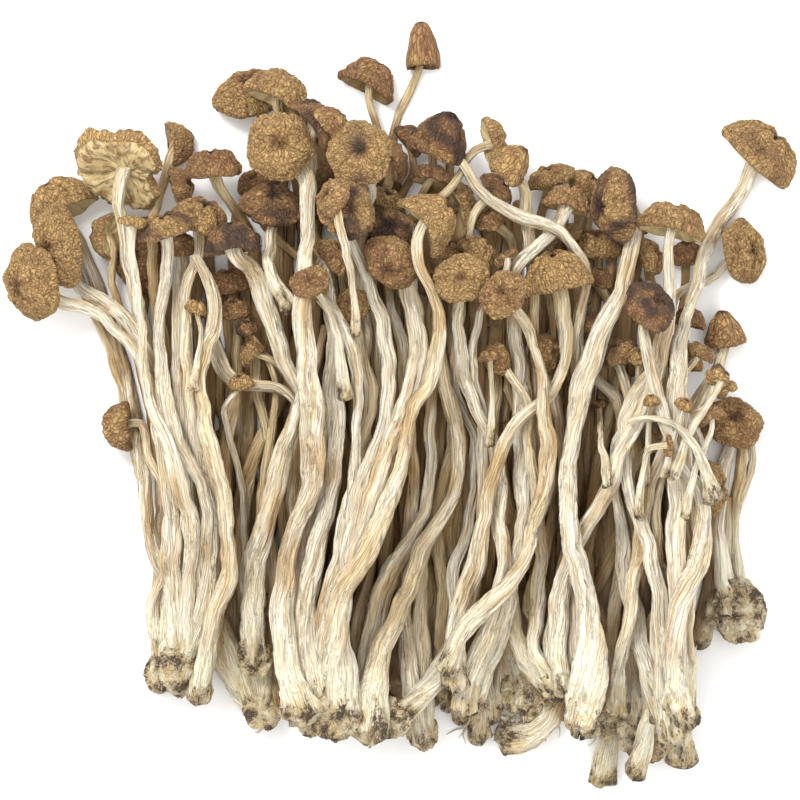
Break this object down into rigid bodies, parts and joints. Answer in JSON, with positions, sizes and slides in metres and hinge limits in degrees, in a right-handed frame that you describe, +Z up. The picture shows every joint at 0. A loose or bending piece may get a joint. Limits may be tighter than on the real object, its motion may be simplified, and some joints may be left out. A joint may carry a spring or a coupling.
{
  "type": "bunch of dried tea tree mushrooms",
  "caption": "Loose pile of long-stemmed dried mushrooms lying flat, small wrinkled brown caps at one end and pale fibrous stems with dirty feet at the other.",
  "frame": {"origin": "on the surface that the pile lies on, under the middle of its bounding box", "axes": "+X to the right across the stems, +Y towards the caps, +Z up, away from the surface"},
  "size_m": [0.198, 0.1908, 0.0373],
  "materials": {
    "dried_mushroom": "dry, fibrous, matt"
  },
  "bodies": {
    "root": {"mushroom_back_a": "dried_mushroom", "mushroom_back_c": "dried_mushroom", "mushroom_back_right": "dried_mushroom", "mushroom_broken_stem": "dried_mushroom", "mushroom_cut_foot": "dried_mushroom", "mushroom_front_a": "dried_mushroom", "mushroom_front_e": "dried_mushroom", "mushroom_front_f": "dried_mushroom", "mushroom_front_g": "dried_mushroom", "mushroom_front_h": "dried_mushroom", "mushroom_front_i": "dried_mushroom", "mushroom_front_j": "dried_mushroom", "mushroom_front_k": "dried_mushroom", "mushroom_front_left": "dried_mushroom", "mushroom_lying_foot": "dried_mushroom", "mushroom_mid_a": "dried_mushroom", "mushroom_mid_c": "dried_mushroom", "mushroom_mid_e": "dried_mushroom", "mushroom_mid_f": "dried_mushroom", "mushroom_mid_g": "dried_mushroom", "mushroom_right_a": "dried_mushroom", "mushroom_right_b": "dried_mushroom", "mushroom_right_e": "dried_mushroom", "mushroom_right_f": "dried_mushroom", "mushroom_right_g": "dried_mushroom", "mushroom_short": "dried_mushroom", "mushroom_top_d": "dried_mushroom", "mushroom_top_e": "dried_mushroom", "tuft_back_pair": "dried_mushroom", "tuft_back_right": "dried_mushroom", "tuft_behind_left": "dried_mushroom", "tuft_big_stem": "dried_mushroom", "tuft_centre": "dried_mushroom", "tuft_dark_foot": "dried_mushroom", "tuft_gap_caps": "dried_mushroom", "tuft_left": "dried_mushroom", "tuft_low_left": "dried_mushroom", "tuft_mid_b": "dried_mushroom", "tuft_mid_h": "dried_mushroom", "tuft_mid_i": "dried_mushroom", "tuft_outlying": "dried_mushroom", "tuft_right": "dried_mushroom", "tuft_right_c": "dried_mushroom", "tuft_right_d": "dried_mushroom", "tuft_top_a": "dried_mushroom", "tuft_top_b": "dried_mushroom", "tuft_top_c": "dried_mushroom", "tuft_top_f": "dried_mushroom", "tuft_top_g": "dried_mushroom", "tuft_under_clump": "dried_mushroom", "tuft_under_middle": "dried_mushroom", "tuft_under_right": "dried_mushroom"}
  },
  "joints": []
}
